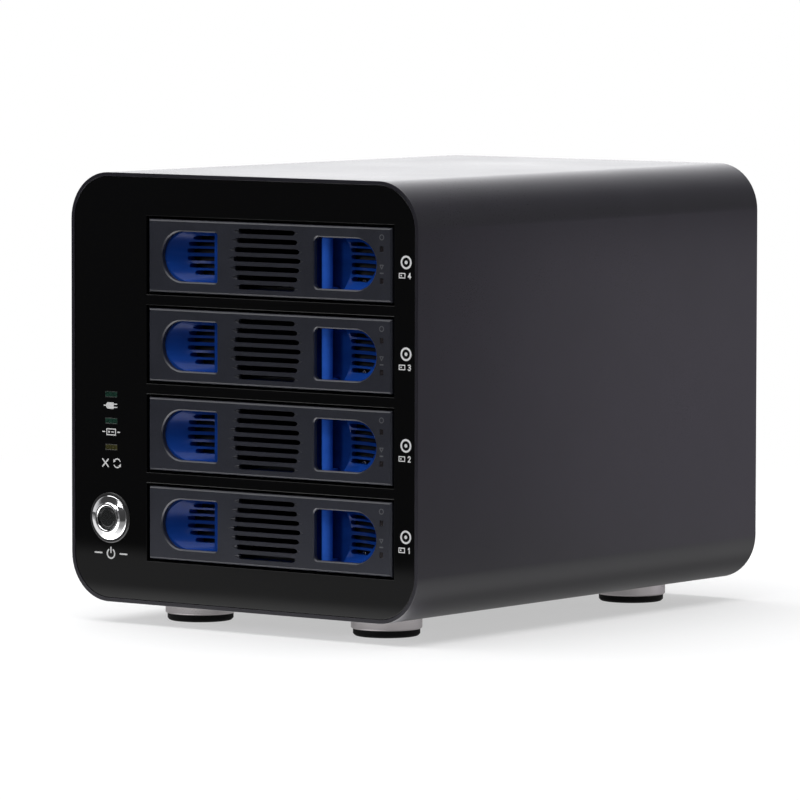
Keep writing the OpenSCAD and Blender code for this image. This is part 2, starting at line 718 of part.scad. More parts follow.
module tray_latch(n) {
    color("#2450c8") translate([0, yf, bay_z(n)]) union() {
        rod_z(38.4, 4.5, 2.15, 3, 25.2);
        for (h = [3, 23.8]) box(37.4, 39.4, 4.5, 11, h, h + 1.4);
        for (h = [3, 23.8]) box(37.4, 65.4, 10.8, 11.8, h, h + 1.4);
        box(62.9, 65.4, 10.8, 11.8, 3, 25.2);
        box(62.9, 70, 10.8, 11.8, 10, 18);
        // hook
        translate([0, 0, 10]) linear_extrude(8) polygon([[69.4, 10.8], [73.3, 10.8], [73.3, 11.6],
            [71.2, 13.4], [69.4, 13.4]]);
    }
}

module latch_spring(n) {
    // flat wave spring, 12.8 long
    p = 1.76;
    t = 0.4;
    color("#c9ccd0") translate([50.05, yf + 11.7, bay_z(n) + 6.1]) rotate([90, 0, 0]) linear_extrude(0.8)
        for (k = [0:7]) {
            translate([k * p, -0.45]) square([t, 0.9]);
            s = k % 2 == 0 ? 1 : -1;
            if (k < 7) translate([k * p + (p + t) / 2, s * 0.449]) intersection() {
                difference() { circle((p + t) / 2, $fn = 24); circle((p - t) / 2, $fn = 24); }
                translate([-2, s > 0 ? 0 : -2]) square([4, 2]);
            }
        }
}

module tray_carrier(n) {
    hw = drive_w / 2 + 0.2;
    ow = hw + 2.2;
    y0 = ycov;
    yh = yf + 14.5 + drive_l - 41.28;
    yi = y0 + 1.9 + 0.02;
    color("#1c1d20") translate([bay_x, 0, bay_z(n)]) {
        // floor pan with air windows and the drive's screw holes
        difference() {
            box(-ow, ow, yi, 46, 0.3, 1.5);
            for (y = [-86, -24, 17]) box(-36, 36, y, y + (y < -80 ? 40 : 22), -1, 3);
            for (s = [-1, 1]) for (k = [0, 1])
                translate([s * screw_dx / 2, yh - k * screw_dy, -1]) cylinder(d = screw_hole_d, h = 4);
        }
        // side rails with a guide ridge and access holes for side screws
        for (s = [-1, 1]) difference() {
            union() {
                box(s > 0 ? hw : -ow, s > 0 ? ow : -hw, yi, 46, 1.52, 21.4);
                box(s > 0 ? ow - e : -ow - 2.7, s > 0 ? ow + 2.7 : -ow + e, -92, 46, 12, 15);
            }
            for (y = [yf + 14.5 + drive_l - 28.5, yf + 14.5 + drive_l - 130.1])
                translate([s * 52, y, 8]) rotate([0, 90, 0]) cylinder(r = 1.8, h = 6, center = true);
        }
        // front plate
        difference() {
            box(-ow, ow, y0, y0 + 1.9, 0.3, 27);
            box(-18, 17.5, y0 - 1, y0 + 3, 3, 25.5);
        }
    }
}

module tray_light_pipes(n) {
    color("#9fb3c4") translate([0, 0, bay_z(n)]) for (h = [8.05, 20.15]) union() {
        box(67.05, 68.55, yf + 0.1, ycov - 1.5, h - 1, h + 1);
        box(67.2, 68.4, ycov - 2, ycov + 0.5, h - 0.7, h + 0.7);
        box(bay_x + drive_w / 2 + 2.4, 68.4, ycov + e, 47, h - 0.7, h + 0.7);
    }
}

outer_shell();
front_panel();
front_bezel();
link_light_pipes();
error_light_pipe();
led_board();
power_button_ring();
power_button();
power_switch_body();
power_switch_nut();
cage_left();
cage_right();
cage_top();
cage_bottom();
cage_screws();
guide_rails();
backplane_board();
drive_sockets();
controller_board();
controller_heatsink();
board_standoffs();
data_cable();
rear_panel();
rear_screws();
fan_frame();
fan_rotor();
fan_guard();
fan_screws();
usb_socket();
esata_socket();
power_socket();
mode_dial();
set_button();
foot_discs();
foot_pads();
foot_screws();
tray_cover(1);  // tray_cover_1
tray_cover(2);  // tray_cover_2
tray_cover(3);  // tray_cover_3
tray_cover(4);  // tray_cover_4
tray_grip(1);  // tray_grip_1
tray_grip(2);  // tray_grip_2
tray_grip(3);  // tray_grip_3
tray_grip(4);  // tray_grip_4
tray_latch(1);  // tray_latch_1
tray_latch(2);  // tray_latch_2
tray_latch(3);  // tray_latch_3
tray_latch(4);  // tray_latch_4
latch_spring(1);  // latch_spring_1
latch_spring(2);  // latch_spring_2
latch_spring(3);  // latch_spring_3
latch_spring(4);  // latch_spring_4
tray_carrier(1);  // tray_carrier_1
tray_carrier(2);  // tray_carrier_2
tray_carrier(3);  // tray_carrier_3
tray_carrier(4);  // tray_carrier_4
tray_light_pipes(1);  // tray_light_pipes_1
tray_light_pipes(2);  // tray_light_pipes_2
tray_light_pipes(3);  // tray_light_pipes_3
tray_light_pipes(4);  // tray_light_pipes_4
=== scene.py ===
import json
import math

import bmesh
import bpy
from mathutils import Matrix, Vector
from mathutils.geometry import delaunay_2d_cdt


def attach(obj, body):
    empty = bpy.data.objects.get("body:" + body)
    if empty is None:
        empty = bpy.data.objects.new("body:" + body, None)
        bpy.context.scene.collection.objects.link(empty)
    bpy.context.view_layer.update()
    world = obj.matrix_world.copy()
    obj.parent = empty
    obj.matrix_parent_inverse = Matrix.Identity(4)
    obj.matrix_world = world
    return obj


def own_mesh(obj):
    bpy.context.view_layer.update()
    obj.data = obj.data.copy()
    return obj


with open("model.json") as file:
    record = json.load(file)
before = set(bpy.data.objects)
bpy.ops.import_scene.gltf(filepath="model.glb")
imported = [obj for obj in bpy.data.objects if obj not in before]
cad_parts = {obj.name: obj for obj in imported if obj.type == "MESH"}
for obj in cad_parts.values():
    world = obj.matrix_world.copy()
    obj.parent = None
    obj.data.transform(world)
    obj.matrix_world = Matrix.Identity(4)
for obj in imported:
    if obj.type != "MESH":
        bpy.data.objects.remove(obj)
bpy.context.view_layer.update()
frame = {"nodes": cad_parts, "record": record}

NODES = frame["nodes"]
scene = bpy.context.scene
MM = 0.001


# ---------------------------------------------------------------- materials

class Mat:
    """A node material with a few short-hands for building procedural detail."""

    def __init__(self, name, world=False):
        self.m = (bpy.data.worlds if world else bpy.data.materials).new(name)
        self.m.use_nodes = True
        self.t = self.m.node_tree
        self.n = self.t.nodes
        self.bsdf = None if world else self.n["Principled BSDF"]
        self.out = self.n["World Output" if world else "Material Output"]
        self.coord = self.n.new("ShaderNodeTexCoord")
        self.pos = self.coord.outputs["Generated" if world else "Object"]
        self.height = None

    def link(self, a, b):
        self.t.links.new(a, b)

    def set(self, **kw):
        for k, v in kw.items():
            key = {"base": "Base Color", "rough": "Roughness", "metal": "Metallic", "ior": "IOR",
                   "coat": "Coat Weight", "coat_rough": "Coat Roughness", "coat_ior": "Coat IOR",
                   "spec": "Specular IOR Level", "trans": "Transmission Weight",
                   "aniso": "Anisotropic", "aniso_rot": "Anisotropic Rotation",
                   "sheen": "Sheen Weight", "sss": "Subsurface Weight",
                   "emit": "Emission Color", "emit_strength": "Emission Strength",
                   "tint": "Specular Tint"}[k]
            s = self.bsdf.inputs[key]
            if k in ("base", "emit", "tint") and not hasattr(v, "node"):
                v = tuple(v) + ((1.0,) if len(v) == 3 else ())
            if hasattr(v, "node"):
                self.link(v, s)
            else:
                s.default_value = v
        return self

    def math(self, op, a, b=None, c=None, clamp=False):
        n = self.n.new("ShaderNodeMath")
        n.operation = op
        n.use_clamp = clamp
        for i, v in enumerate((a, b, c)):
            if v is None:
                continue
            if hasattr(v, "node"):
                self.link(v, n.inputs[i])
            else:
                n.inputs[i].default_value = v
        return n.outputs[0]

    def vmath(self, op, a, b=None):
        n = self.n.new("ShaderNodeVectorMath")
        n.operation = op
        for i, v in enumerate((a, b)):
            if v is None:
                continue
            if hasattr(v, "node"):
                self.link(v, n.inputs[i])
            else:
                n.inputs[i].default_value = v
        return n.outputs["Value"] if op in ("LENGTH", "DOT_PRODUCT", "DISTANCE") else n.outputs[0]

    def sep(self, v=None):
        n = self.n.new("ShaderNodeSeparateXYZ")
        self.link(v or self.pos, n.inputs[0])
        return n.outputs

    def scaled(self, v, s):
        """The coordinates times a vector."""
        return self.vmath("MULTIPLY", v, s)

    def noise(self, scale, detail=4.0, rough=0.55, at=None, distortion=0.0):
        n = self.n.new("ShaderNodeTexNoise")
        n.inputs["Scale"].default_value = scale
        n.inputs["Detail"].default_value = detail
        n.inputs["Roughness"].default_value = rough
        n.inputs["Distortion"].default_value = distortion
        self.link(at or self.pos, n.inputs["Vector"])
        return n.outputs["Fac"]

    def voronoi(self, scale, feature="F1", at=None, out="Distance"):
        n = self.n.new("ShaderNodeTexVoronoi")
        n.feature = feature
        n.inputs["Scale"].default_value = scale
        self.link(at or self.pos, n.inputs["Vector"])
        return n.outputs[out]

    def wave(self, scale, direction="X", at=None, distortion=0.0, profile="SIN", kind="BANDS"):
        n = self.n.new("ShaderNodeTexWave")
        n.wave_type = kind
        if kind == "BANDS":
            n.bands_direction = direction
        else:
            n.rings_direction = direction
        n.wave_profile = profile
        n.inputs["Scale"].default_value = scale
        n.inputs["Distortion"].default_value = distortion
        self.link(at or self.pos, n.inputs["Vector"])
        return n.outputs["Fac"]

    def map(self, v, a, b, c, d, clamp=True, smooth=False):
        n = self.n.new("ShaderNodeMapRange")
        n.clamp = clamp
        if smooth:
            n.interpolation_type = "SMOOTHSTEP"
        self.link(v, n.inputs["Value"])
        for k, x in zip(("From Min", "From Max", "To Min", "To Max"), (a, b, c, d)):
            n.inputs[k].default_value = x
        return n.outputs["Result"]

    def mix(self, f, a, b):
        n = self.n.new("ShaderNodeMix")
        n.data_type = "RGBA"
        for s, v in ((n.inputs["Factor"], f), (n.inputs[6], a), (n.inputs[7], b)):
            if hasattr(v, "node"):
                self.link(v, s)
            elif s.name == "Factor":
                s.default_value = v
            else:
                s.default_value = tuple(v) + (1.0,)
        return n.outputs[2]

    def add_height(self, v, mm):
        """Adds a height field, in millimetres at value 1, to the bump."""
        h = self.math("MULTIPLY", v, mm)
        self.height = h if self.height is None else self.math("ADD", self.height, h)

    def done(self, strength=1.0):
        if self.height is not None:
            b = self.n.new("ShaderNodeBump")
            b.inputs["Strength"].default_value = strength
            b.inputs["Distance"].default_value = MM
            self.link(self.height, b.inputs["Height"])
            self.link(b.outputs[0], self.bsdf.inputs["Normal"])
        return self.m


def satin_shell():
    """Satin black powder coat over aluminium: fine grain, faint mottling, a slight violet cast."""
    m = Mat("shell_black")
    grain = m.noise(2600, 3.0, 0.6)
    mott = m.noise(38, 4.0, 0.6)
    base = m.mix(m.map(mott, 0.3, 0.7, 0, 1), (0.0165, 0.0150, 0.0225), (0.021, 0.0190, 0.0285))
    base = m.mix(m.map(grain, 0.52, 0.72, 0, 0.35), base, (0.036, 0.034, 0.045))
    rough = m.math("ADD", m.map(grain, 0.3, 0.7, 0.27, 0.35), m.map(m.noise(11, 3.0), 0.3, 0.7, -0.02, 0.03))
    m.set(base=base, rough=rough, spec=0.6)
    m.add_height(grain, 0.012)
    m.add_height(m.noise(900, 2.0), 0.006)
    return m.done(0.55)


def gloss_panel():
    """Gloss black acrylic sheet with a polished face, faint haze and a few specks of dust."""
    m = Mat("gloss_panel")
    haze = m.noise(16, 3.0, 0.6)
    dust = m.map(m.voronoi(420), 0.0, 0.06, 1, 0)
    pick = m.map(m.noise(95, 2.0), 0.62, 0.68, 0, 1)
    speck = m.math("MULTIPLY", dust, pick)
    base = m.mix(m.math("MULTIPLY", speck, 0.35), (0.0022, 0.0022, 0.0026), (0.10, 0.10, 0.10))
    rough = m.math("ADD", m.map(haze, 0.35, 0.7, 0.035, 0.085), m.math("MULTIPLY", speck, 0.35))
    m.set(base=base, rough=rough, ior=1.49)
    m.add_height(m.noise(42, 1.0), 0.010)
    return m.done(0.35)


def moulded(name, dark, light, rough=(0.42, 0.58), grain=1500, height=0.02, spec=0.5, coat=0.0):
    """Moulded plastic with a spark-eroded texture."""
    m = Mat(name)
    fine = m.noise(grain, 4.0, 0.65)
    cells = m.voronoi(grain * 0.8)
    blotch = m.noise(60, 3.0, 0.6)
    f = m.math("ADD", m.map(blotch, 0.3, 0.7, 0.0, 0.6), m.map(fine, 0.4, 0.7, 0.0, 0.4))
    m.set(base=m.mix(f, dark, light), rough=m.map(fine, 0.3, 0.7, *rough), spec=spec, coat=coat,
          coat_rough=0.25)
    m.add_height(fine, height)
    m.add_height(cells, height * 0.5)
    return m.done(0.6)


def blue_plastic(name, dark, light, rough=(0.17, 0.24)):
    """Royal blue moulding: a soft sheen, slight flow marks and a little depth."""
    m = Mat(name)
    flow = m.noise(55, 4.0, 0.6, at=m.scaled(m.pos, (1.0, 0.4, 2.2)), distortion=0.5)
    fine = m.noise(1700, 3.0, 0.6)
    m.set(base=m.mix(m.map(flow, 0.3, 0.72, 0, 1), dark, light), rough=m.map(fine, 0.3, 0.7, *rough),
          spec=0.10)
    m.add_height(fine, 0.003)
    m.add_height(flow, 0.012)
    return m.done(0.5)


def metal(name, base, rough=(0.2, 0.32), scale=(1, 1, 1), grain=700, height=0.006, aniso=0.0,
          spread=0.12):
    """Metal with a directional grain: scale stretches the grain along an axis."""
    m = Mat(name)
    at = m.scaled(m.pos, scale)
    g = m.noise(grain, 4.0, 0.65, at=at)
    blot = m.noise(45, 3.0, 0.55)
    lo = tuple(c * (1 - spread) for c in base)
    hi = tuple(min(1, c * (1 + spread)) for c in base)
    m.set(base=m.mix(m.math("ADD", m.math("MULTIPLY", g, 0.6), m.math("MULTIPLY", blot, 0.4)), lo, hi),
          metal=1.0, rough=m.math("ADD", m.map(g, 0.3, 0.7, *rough), m.map(blot, 0.3, 0.7, -0.02, 0.03)),
          aniso=aniso)
    m.add_height(g, height)
    return m.done(0.5)


def turned_metal(name, base, rough, centres, pitch=5200):
    """Turned metal: fine rings about the nearest of the given vertical axes."""
    m = Mat(name)
    x, y, z = m.sep()
    best = None
    for cx, cy in centres:
        dx, dy = m.math("SUBTRACT", x, cx), m.math("SUBTRACT", y, cy)
        r = m.math("SQRT", m.math("ADD", m.math("MULTIPLY", dx, dx), m.math("MULTIPLY", dy, dy)))
        best = r if best is None else m.math("MINIMUM", best, r)
    comb = m.n.new("ShaderNodeCombineXYZ")
    m.link(best, comb.inputs[0])
    m.link(z, comb.inputs[2])
    g = m.noise(pitch, 2.0, 0.6, at=comb.outputs[0])
    blot = m.noise(70, 3.0, 0.55)
    lo = tuple(c * 0.86 for c in base)
    m.set(base=m.mix(g, lo, base), metal=1.0,
          rough=m.math("ADD", m.map(g, 0.3, 0.7, *rough), m.map(blot, 0.3, 0.7, -0.03, 0.04)))
    m.add_height(g, 0.008)
    return m.done(0.5)


def rubber():
    m = Mat("rubber")
    fine = m.noise(1800, 4.0, 0.7)
    blot = m.noise(90, 3.0, 0.6)
    m.set(base=m.mix(m.map(blot, 0.3, 0.7, 0, 1), (0.003, 0.003, 0.0032), (0.007, 0.0068, 0.0068)),
          rough=m.map(fine, 0.3, 0.7, 0.7, 0.92), spec=0.35)
    m.add_height(fine, 0.03)
    return m.done(0.7)


def circuit_board():
    """Green solder mask with copper runs under it and vias."""
    m = Mat("circuit_board")
    cells = m.voronoi(190, at=m.pos, feature="DISTANCE_TO_EDGE")
    runs = m.map(m.wave(260, "DIAGONAL", distortion=3.0), 0.42, 0.58, 0, 1)
    region = m.map(m.noise(36, 2.0), 0.45, 0.52, 0, 1)
    trace = m.math("MULTIPLY", m.map(cells, 0.02, 0.06, 1, 0), region)
    trace = m.math("MAXIMUM", trace, m.math("MULTIPLY", runs, m.math("SUBTRACT", 1.0, region)))
    via = m.map(m.voronoi(420), 0.10, 0.14, 1, 0)
    pick = m.map(m.noise(120, 1.0), 0.58, 0.62, 0, 1)
    via = m.math("MULTIPLY", via, pick)
    base = m.mix(trace, (0.006, 0.055, 0.022), (0.014, 0.11, 0.042))
    base = m.mix(via, base, (0.55, 0.42, 0.16))
    m.set(base=base, rough=m.map(m.noise(500, 3.0), 0.3, 0.7, 0.22, 0.36), metal=via, coat=0.3,
          coat_rough=0.2)
    m.add_height(trace, 0.02)
    return m.done(0.6)


def ribbon():
    m = Mat("ribbon")
    z = m.sep()[2]
    cores = m.math("PINGPONG", z, 0.00065)
    ridge = m.map(cores, 0.0, 0.00065, 0, 1)
    first = m.map(z, 0.0815, 0.0817, 1, 0)
    base = m.mix(ridge, (0.16, 0.165, 0.17), (0.36, 0.37, 0.38))
    base = m.mix(first, base, (0.45, 0.02, 0.02))
    m.set(base=base, rough=m.map(m.noise(600, 2.0), 0.3, 0.7, 0.4, 0.55))
    m.add_height(ridge, 0.25)
    return m.done(0.8)


def lens(name, dark, bright, glow=0.0, rough=0.22):
    """Coloured translucent lens with a fine prismatic texture."""
    m = Mat(name)
    f = m.noise(1300, 3.0, 0.6)
    m.set(base=m.mix(m.map(f, 0.35, 0.65, 0, 1), dark, bright), rough=m.map(f, 0.3, 0.7, rough, rough + 0.14),
          trans=0.25, coat=0.3, coat_rough=0.08)
    if glow:
        m.set(emit=bright, emit_strength=glow)
    m.add_height(f, 0.01)
    return m.done(0.4)


def printed(name, color, rough=0.45, glow=0.0):
    """Screen-printed ink: nearly flat, slightly uneven. The glow is a painted glow: an emission that makes the ink
    brighter than the lamps light it.
    """
    m = Mat(name)
    f = m.noise(1100, 4.0, 0.6)
    lo = tuple(c * 0.84 for c in color)
    m.set(base=m.mix(m.map(f, 0.3, 0.7, 0, 1), lo, color), rough=m.map(f, 0.3, 0.7, rough - 0.06, rough + 0.08))
    # painted glow: the ink gives off light in its own colour, though ink is no lamp
    if glow:
        m.set(emit=color, emit_strength=glow)
    m.add_height(f, 0.004)
    return m.done(0.5)


def fan_plastic():
    return moulded("fan_plastic", (0.010, 0.010, 0.011), (0.020, 0.020, 0.022), rough=(0.34, 0.5), grain=900,
                   height=0.015)


M = {
    "shell_black": satin_shell(),
    "gloss_panel": gloss_panel(),
    "bezel_plastic": moulded("bezel_plastic", (0.008, 0.008, 0.009), (0.014, 0.014, 0.016)),
    "lamp_green": lens("lamp_green", (0.002, 0.013, 0.009), (0.006, 0.06, 0.036), 0.10),
    "lamp_amber": lens("lamp_amber", (0.018, 0.017, 0.003), (0.07, 0.065, 0.012), 0.10),
    "circuit_board": circuit_board(),
    "chrome": metal("chrome", (0.80, 0.80, 0.81), rough=(0.05, 0.11), grain=380, height=0.001, spread=0.04),
    "button_black": moulded("button_black", (0.010, 0.011, 0.011), (0.018, 0.019, 0.019), rough=(0.22, 0.32),
                            grain=2400, height=0.004),
    "switch_plastic": moulded("switch_plastic", (0.016, 0.016, 0.017), (0.03, 0.03, 0.03), rough=(0.3, 0.42)),
    "zinc_hardware": metal("zinc_hardware", (0.52, 0.53, 0.55), rough=(0.22, 0.36), grain=900, height=0.004),
    "cage_sheet": metal("cage_sheet", (0.46, 0.47, 0.49), rough=(0.3, 0.44), scale=(1, 0.12, 1), grain=420,
                        height=0.006),
    "rail_plastic": moulded("rail_plastic", (0.012, 0.012, 0.013), (0.022, 0.022, 0.024), rough=(0.35, 0.5)),
    "socket_plastic": moulded("socket_plastic", (0.007, 0.007, 0.008), (0.014, 0.014, 0.015), rough=(0.32, 0.46)),
    "heatsink": metal("heatsink", (0.42, 0.43, 0.45), rough=(0.28, 0.42), scale=(1, 0.1, 1), grain=900,
                      height=0.006),
    "brass_hardware": metal("brass_hardware", (0.62, 0.46, 0.20), rough=(0.18, 0.3), grain=700, height=0.003),
    "ribbon": ribbon(),
    "rear_sheet": moulded("rear_sheet", (0.013, 0.013, 0.015), (0.024, 0.024, 0.027), rough=(0.4, 0.55), grain=1400,
                          height=0.03),
    "fan_plastic": fan_plastic(),
    "guard_wire": metal("guard_wire", (0.70, 0.71, 0.73), rough=(0.12, 0.2), grain=500, height=0.002),
    "socket_metal": metal("socket_metal", (0.62, 0.62, 0.64), rough=(0.2, 0.32), grain=800, height=0.003),
    "dial_plastic": moulded("dial_plastic", (0.48, 0.48, 0.46), (0.62, 0.62, 0.60), rough=(0.35, 0.5), grain=1300,
                            height=0.01),
    "red_plastic": moulded("red_plastic", (0.34, 0.018, 0.012), (0.48, 0.03, 0.02), rough=(0.28, 0.4), grain=1300,
                           height=0.008),
    "foot_metal": turned_metal("foot_metal", (0.74, 0.70, 0.71), (0.26, 0.38),
                               [(sx * 0.046, sy * 0.0815) for sx in (-1, 1) for sy in (-1, 1)]),
    "rubber": rubber(),
    "cover_plastic": moulded("cover_plastic", (0.0205, 0.0222, 0.0325), (0.034, 0.0365, 0.0515), rough=(0.30, 0.42),
                             grain=1250, height=0.022, spec=0.5),
    "grip_blue": blue_plastic("grip_blue", (0.0055, 0.045, 0.27), (0.0095, 0.064, 0.37)),
    "latch_blue": blue_plastic("latch_blue", (0.030, 0.15, 0.78), (0.042, 0.19, 0.92)),
    "spring_steel": metal("spring_steel", (0.6, 0.6, 0.62), rough=(0.18, 0.28), grain=800, height=0.002),
    "carrier_plastic": moulded("carrier_plastic", (0.012, 0.0125, 0.0145), (0.022, 0.023, 0.026), rough=(0.38, 0.54),
                               grain=1100, height=0.03),
    "clear_pipe": lens("clear_pipe", (0.012, 0.010, 0.012), (0.05, 0.04, 0.045), 0.0, rough=0.14),
    # white ink with a painted glow of strength 0.17 that brightens the printed marks
    "white_ink": printed("white_ink", (0.90, 0.90, 0.90), glow=0.17),
    "grey_ink": printed("grey_ink", (0.16, 0.165, 0.18)),
}

for sub in frame["record"]["subparts"]:
    o = NODES[sub["node"]]
    o.data.materials.clear()
    o.data.materials.append(M[sub["material_slot"]])


# ---------------------------------------------------------------- edges of the CAD nodes

def refine(node, width, segments=2, angle=35.0, dissolve=True):
    """Welds the exported triangles, joins the flat ones and rounds the sharp edges."""
    o = NODES[node]
    w = o.modifiers.new("weld", "WELD")
    w.merge_threshold = 2e-6
    if dissolve:
        d = o.modifiers.new("flat", "DECIMATE")
        d.decimate_type = "DISSOLVE"
        d.angle_limit = math.radians(0.6)
        d.use_dissolve_boundaries = False
    if width:
        b = o.modifiers.new("round", "BEVEL")
        b.width = width * MM
        b.segments = segments
        b.limit_method = "ANGLE"
        b.angle_limit = math.radians(angle)
        b.use_clamp_overlap = True
        b.harden_normals = False
        b.miter_outer = "MITER_ARC"
        c = o.modifiers.new("clean", "WELD")     # drops the facets that a clamped bevel shrinks to nothing
        c.merge_threshold = 1e-6
    n = o.modifiers.new("normals", "WEIGHTED_NORMAL")
    n.keep_sharp = True
    n.weight = 60
    for p in o.data.polygons:
        p.use_smooth = True
    return o


for name in NODES:
    if name.startswith("tray_cover_"):
        refine(name, 0.14, segments=2)
    else:
        refine(name, 0.15)

# the real wave springs shorten towards their fixed left end as the latches move; here each one only gets a mesh of its
# own
for n in range(1, 5):
    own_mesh(NODES[f"latch_spring_{n}"])


# ---------------------------------------------------------------- small helpers for new pieces

def arc(cx, cz, r, a0, a1, n):
    return [(cx + r * math.cos(math.radians(a0 + (a1 - a0) * i / n)),
             cz + r * math.sin(math.radians(a0 + (a1 - a0) * i / n))) for i in range(n + 1)]


def finish_bm(bm, name, material, body, smooth=False):
    bmesh.ops.recalc_face_normals(bm, faces=bm.faces)
    me = bpy.data.meshes.new(name)
    bm.to_mesh(me)
    bm.free()
    for p in me.polygons:
        p.use_smooth = smooth
    o = bpy.data.objects.new(name, me)
    scene.collection.objects.link(o)
    me.materials.append(M[material])
    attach(o, body)
    return o


# ---------------------------------------------------------------- printed marks

Z0 = 8.3
PANEL_Y = -113.3
COVER_Y = -113.5
INK = 0.03


def bay_z(n):
    return Z0 + 18.25 + (n - 1) * 34.65


class Drawing:
    """Filled shapes in X and Z (millimetres), joined into one clean outline and given the ink's thickness."""

    def __init__(self):
        self.polys = []

    def fill(self, pts):
        self.polys.append(list(pts))

    def line(self, pts, w, closed=False):
        """A line of width w with round joints and ends."""
        pts = list(pts) + ([pts[0]] if closed else [])
        for (ax, az), (bx, bz) in zip(pts, pts[1:]):
            a = math.degrees(math.atan2(bz - az, bx - ax))
            self.fill(arc(bx, bz, w / 2, a - 90, a + 90, 8) + arc(ax, az, w / 2, a + 90, a + 270, 8))

    def dot(self, x, z, r):
        self.fill(arc(x, z, r, 0, 345, 23))

    def make(self, name, y, material, body):
        verts, faces = [], []
        for poly in self.polys:
            faces.append(list(range(len(verts), len(verts) + len(poly))))
            verts += [Vector(p) for p in poly]
        ov, _, of, _, _, ids = delaunay_2d_cdt(verts, [], faces, 1, 1e-4, True)
        bm = bmesh.new()
        vs = [bm.verts.new((v.x * MM, y * MM, v.y * MM)) for v in ov]
        for f, src in zip(of, ids):
            if src:
                bm.faces.new([vs[i] for i in f])
        bmesh.ops.delete(bm, geom=[v for v in bm.verts if not v.link_faces], context="VERTS")
        bmesh.ops.dissolve_limit(bm, angle_limit=0.01, verts=bm.verts, edges=bm.edges)
        side = bmesh.ops.extrude_face_region(bm, geom=list(bm.faces))
        bmesh.ops.translate(bm, vec=(0, -INK * MM, 0), verts=[g for g in side["geom"] if isinstance(g, bmesh.types.BMVert)])
        bmesh.ops.triangulate(bm, faces=bm.faces)
        return finish_bm(bm, name, material, body)


def triangle(cx, cz, r, direction):
    """Corners of an equilateral triangle whose point faces direction, in degrees."""
    return [(cx + r * math.cos(math.radians(direction + 120 * i)), cz + r * math.sin(math.radians(direction + 120 * i)))
            for i in range(3)]


DIGIT = {  # the strokes of each digit in a cell 0.6 wide and 1 high
    1: [[(0.14, 0.78), (0.34, 1.0), (0.34, 0.0)]],
    2: [[(0.06, 0.80), (0.18, 1.0), (0.44, 1.0), (0.54, 0.78), (0.48, 0.55), (0.06, 0.0), (0.56, 0.0)]],
    3: [[(0.06, 0.92), (0.20, 1.0), (0.44, 1.0), (0.54, 0.78), (0.42, 0.54), (0.24, 0.53)],
        [(0.42, 0.54), (0.56, 0.30), (0.46, 0.02), (0.18, 0.0), (0.04, 0.12)]],
    4: [[(0.42, 0.0), (0.42, 1.0), (0.02, 0.30), (0.60, 0.30)]],
    5: [[(0.52, 1.0), (0.12, 1.0), (0.08, 0.56), (0.36, 0.60), (0.54, 0.42), (0.52, 0.14), (0.34, 0.0), (0.06, 0.06)]],
    6: [[(0.48, 0.96), (0.24, 0.86), (0.08, 0.5), (0.10, 0.14), (0.30, 0.0), (0.50, 0.12), (0.52, 0.40), (0.34, 0.55),
         (0.10, 0.42)]],
    7: [[(0.04, 1.0), (0.56, 1.0), (0.22, 0.0)]],
    0: [[(0.08, 0.2), (0.3, 0.0), (0.52, 0.2), (0.52, 0.8), (0.3, 1.0), (0.08, 0.8), (0.08, 0.2)]],
}


